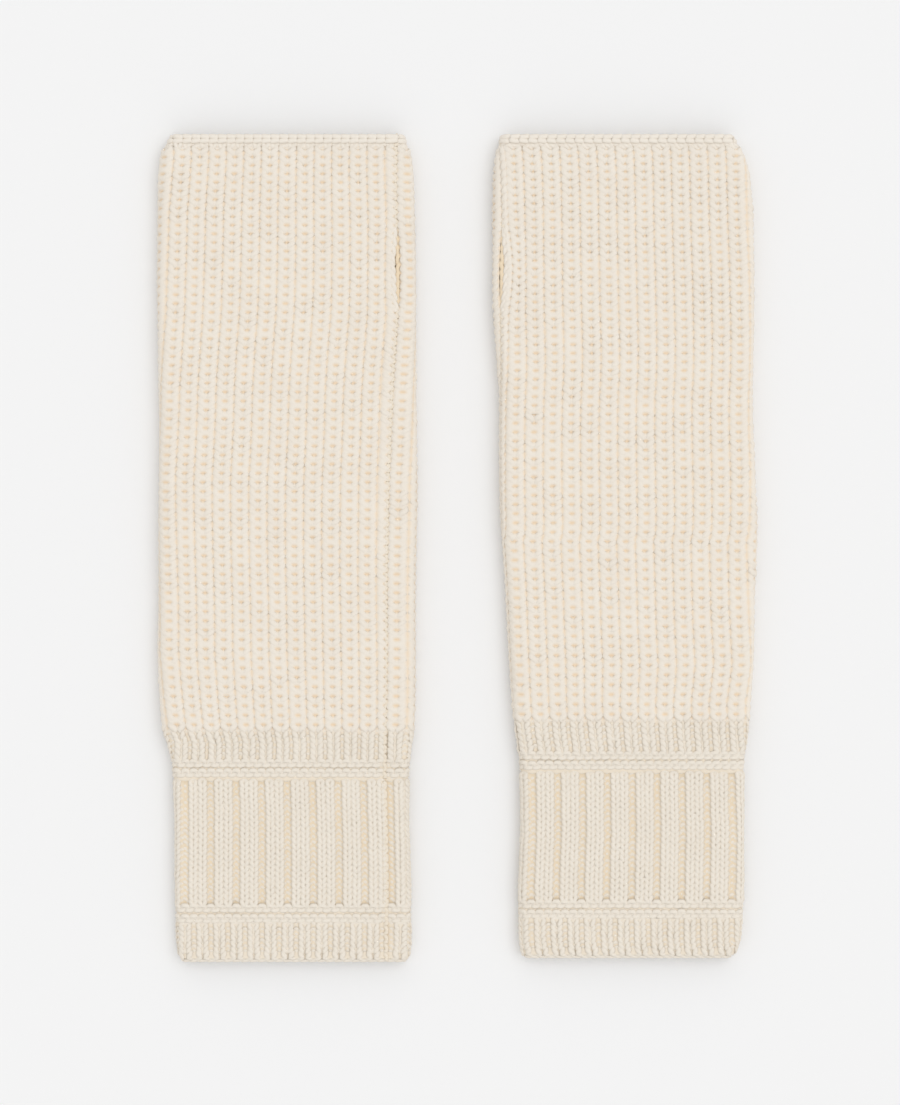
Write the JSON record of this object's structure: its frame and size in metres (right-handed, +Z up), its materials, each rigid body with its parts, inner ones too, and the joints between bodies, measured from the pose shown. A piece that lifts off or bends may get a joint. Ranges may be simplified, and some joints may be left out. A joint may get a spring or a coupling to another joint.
{
  "type": "fingerless gloves",
  "caption": "Pair of long knitted fingerless gloves lying flat, ribbed open tubes with a thumb slit in the side seam and a deep ribbed cuff that folds back.",
  "frame": {"origin": "on the surface the gloves lie on, under the middle of the pair's box", "axes": "+Z up from the surface, +Y along the gloves from wrist to fingers, +X from the left glove to the right glove as seen from above with the fingers away"},
  "size_m": [0.2334, 0.32, 0.011],
  "materials": {
    "half_cardigan_knit": "soft wool knit, cream",
    "rib_knit": "soft wool rib, cream",
    "garter_knit": "soft wool purl ridges, cream",
    "edge_knit": "soft wool edge stitches, cream",
    "seam_yarn": "soft wool seam, cream"
  },
  "bodies": {
    "left_glove": {"left_bound_off_edge": "edge_knit", "left_half_cardigan_sleeve": "half_cardigan_knit", "left_transition_rib": "rib_knit", "left_upper_garter_band": "garter_knit", "left_hand_seam": "seam_yarn", "left_sleeve_seam": "seam_yarn", "left_slit_palm_edge": "edge_knit", "left_slit_thumb_edge": "edge_knit"},
    "left_cuff": {"left_wide_rib_cuff": "rib_knit", "left_lower_garter_band": "garter_knit", "left_hem_rib": "rib_knit", "left_cast_on_edge": "edge_knit", "left_cuff_seam": "seam_yarn"},
    "right_glove": {"right_bound_off_edge": "edge_knit", "right_half_cardigan_sleeve": "half_cardigan_knit", "right_transition_rib": "rib_knit", "right_upper_garter_band": "garter_knit", "right_hand_seam": "seam_yarn", "right_sleeve_seam": "seam_yarn", "right_slit_palm_edge": "edge_knit", "right_slit_thumb_edge": "edge_knit"},
    "right_cuff": {"right_wide_rib_cuff": "rib_knit", "right_lower_garter_band": "garter_knit", "right_hem_rib": "rib_knit", "right_cast_on_edge": "edge_knit", "right_cuff_seam": "seam_yarn"}
  },
  "joints": [
    {"name": "left_cuff_fold", "type": "hinge", "parent": "left_glove", "child": "left_cuff", "pos_m": [-0.064, -0.08975, 0.0113], "axis": [-1, 0, 0], "range_deg": [0, 180]},
    {"name": "right_glove_lift", "type": "slide", "parent": "left_glove", "child": "right_glove", "axis": [0, 0, 1], "range_m": [0, 0.1]},
    {"name": "right_cuff_fold", "type": "hinge", "parent": "right_glove", "child": "right_cuff", "pos_m": [0.067, -0.08675, 0.0113], "axis": [-1, 0, 0], "range_deg": [0, 180]}
  ]
}
